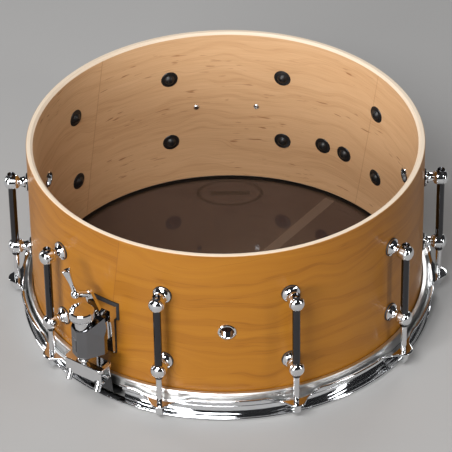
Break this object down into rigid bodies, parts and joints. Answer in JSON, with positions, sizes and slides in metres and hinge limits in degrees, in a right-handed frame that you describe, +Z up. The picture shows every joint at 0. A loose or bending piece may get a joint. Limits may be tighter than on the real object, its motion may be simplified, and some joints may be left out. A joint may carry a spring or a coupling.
{
  "type": "snare drum",
  "caption": "Deep wooden snare drum with tube lugs, snare-side head and hoop, snare wires and a side-throw strainer; the batter head and hoop are off.",
  "frame": {"origin": "the drum's axis at the plane that the snare-side hoop's rim rests on", "axes": "+Z up along the drum's axis towards the open batter edge; -Y faces the front vent; the strainer is 36 degrees round from -Y towards -X"},
  "size_m": [0.3992, 0.3802, 0.17],
  "materials": {
    "maple_shell": "satin lacquer outside, bare maple inside",
    "chrome": "polished",
    "black_gasket": "matte",
    "black_steel": "semi-gloss black",
    "brass": "lacquered",
    "head_film": "smoky translucent film",
    "aluminium": "satin",
    "steel": "drawn steel",
    "strap": "woven strap"
  },
  "bodies": {
    "drum": {"shell": "maple_shell", "upper_lug_posts": "chrome", "lower_lug_posts": "chrome", "lug_gaskets": "black_gasket", "lug_tubes": "chrome", "lug_screws": "black_steel", "lug_screw_washers": "black_steel", "vent_eyelets": "chrome", "badge_plate": "brass", "badge_pins": "brass", "snare_head_film": "head_film", "snare_head_collar": "head_film", "flesh_hoop": "aluminium", "snare_hoop": "chrome", "rod_washers": "steel", "butt_strap": "strap", "strainer_gasket": "black_gasket", "strainer_base": "chrome", "strainer_housing": "chrome", "lever_pivot": "chrome", "mount_screws": "black_steel", "mount_screw_washers": "black_steel", "butt_gasket": "black_gasket", "butt_base": "chrome", "butt_jaw": "chrome", "butt_jaw_screws": "chrome"},
    "snares": {"snare_wires": "steel", "snare_end_plates": "steel"},
    "lever": {"lever_arm": "chrome", "lever_grip": "chrome"},
    "slider": {"slider": "chrome"},
    "knob": {"tension_knob": "chrome", "knob_stem": "steel"},
    "clamp": {"clamp_rod": "steel", "upper_jaw": "chrome", "lower_jaw": "chrome", "jaw_screws": "chrome", "strainer_strap": "strap"},
    "tension_rod_01": {"tension_rod_01": "chrome"},
    "tension_rod_02": {"tension_rod_02": "chrome"},
    "tension_rod_03": {"tension_rod_03": "chrome"},
    "tension_rod_04": {"tension_rod_04": "chrome"},
    "tension_rod_05": {"tension_rod_05": "chrome"},
    "tension_rod_06": {"tension_rod_06": "chrome"},
    "tension_rod_07": {"tension_rod_07": "chrome"},
    "tension_rod_08": {"tension_rod_08": "chrome"},
    "tension_rod_09": {"tension_rod_09": "chrome"},
    "tension_rod_10": {"tension_rod_10": "chrome"}
  },
  "joints": [
    {"name": "lever_throw", "type": "hinge", "parent": "drum", "child": "lever", "pos_m": [-0.11086, -0.15258, 0.0945], "axis": [0.5878, 0.809, 0], "range_deg": [0, 90.5]},
    {"name": "slider_drop", "type": "slide", "parent": "drum", "child": "slider", "axis": [0, 0, -1], "range_m": [0, 0.004]},
    {"name": "knob_turn", "type": "hinge", "parent": "slider", "child": "knob", "pos_m": [-0.12332, -0.16973, 0.097], "axis": [0, 0, 1], "range_deg": [-722, 722]},
    {"name": "clamp_fine", "type": "slide", "parent": "slider", "child": "clamp", "axis": [0, 0, 1], "range_m": [-0.0025, 0.0025], "deforming": ["strainer_strap"]},
    {"name": "snares_drop", "type": "hinge", "parent": "drum", "child": "snares", "pos_m": [0.09405, 0.12944, 0.0054], "axis": [0.809, -0.5878, 0], "range_deg": [0, 0.4]},
    {"name": "tension_rod_01_turn", "type": "hinge", "parent": "drum", "child": "tension_rod_01", "pos_m": [0.05902, -0.18165, 0.017], "axis": [0, 0, 1], "continuous": true},
    {"name": "tension_rod_02_turn", "type": "hinge", "parent": "drum", "child": "tension_rod_02", "pos_m": [0.15452, -0.11227, 0.017], "axis": [0, 0, 1], "continuous": true},
    {"name": "tension_rod_03_turn", "type": "hinge", "parent": "drum", "child": "tension_rod_03", "pos_m": [0.191, 0, 0.017], "axis": [0, 0, 1], "continuous": true},
    {"name": "tension_rod_04_turn", "type": "hinge", "parent": "drum", "child": "tension_rod_04", "pos_m": [0.15452, 0.11227, 0.017], "axis": [0, 0, 1], "continuous": true},
    {"name": "tension_rod_05_turn", "type": "hinge", "parent": "drum", "child": "tension_rod_05", "pos_m": [0.05902, 0.18165, 0.017], "axis": [0, 0, 1], "continuous": true},
    {"name": "tension_rod_06_turn", "type": "hinge", "parent": "drum", "child": "tension_rod_06", "pos_m": [-0.05902, 0.18165, 0.017], "axis": [0, 0, 1], "continuous": true},
    {"name": "tension_rod_07_turn", "type": "hinge", "parent": "drum", "child": "tension_rod_07", "pos_m": [-0.15452, 0.11227, 0.017], "axis": [0, 0, 1], "continuous": true},
    {"name": "tension_rod_08_turn", "type": "hinge", "parent": "drum", "child": "tension_rod_08", "pos_m": [-0.191, 0, 0.017], "axis": [0, 0, 1], "continuous": true},
    {"name": "tension_rod_09_turn", "type": "hinge", "parent": "drum", "child": "tension_rod_09", "pos_m": [-0.15452, -0.11227, 0.017], "axis": [0, 0, 1], "continuous": true},
    {"name": "tension_rod_10_turn", "type": "hinge", "parent": "drum", "child": "tension_rod_10", "pos_m": [-0.05902, -0.18165, 0.017], "axis": [0, 0, 1], "continuous": true}
  ],
  "couplings": [
    {"joint": "lever_throw", "follows": "slider_drop", "rad_per_m": 392.7},
    {"joint": "snares_drop", "follows": "slider_drop", "rad_per_m": 1.5272},
    {"joint": "knob_turn", "follows": "clamp_fine", "rad_per_m": 5026.5}
  ]
}
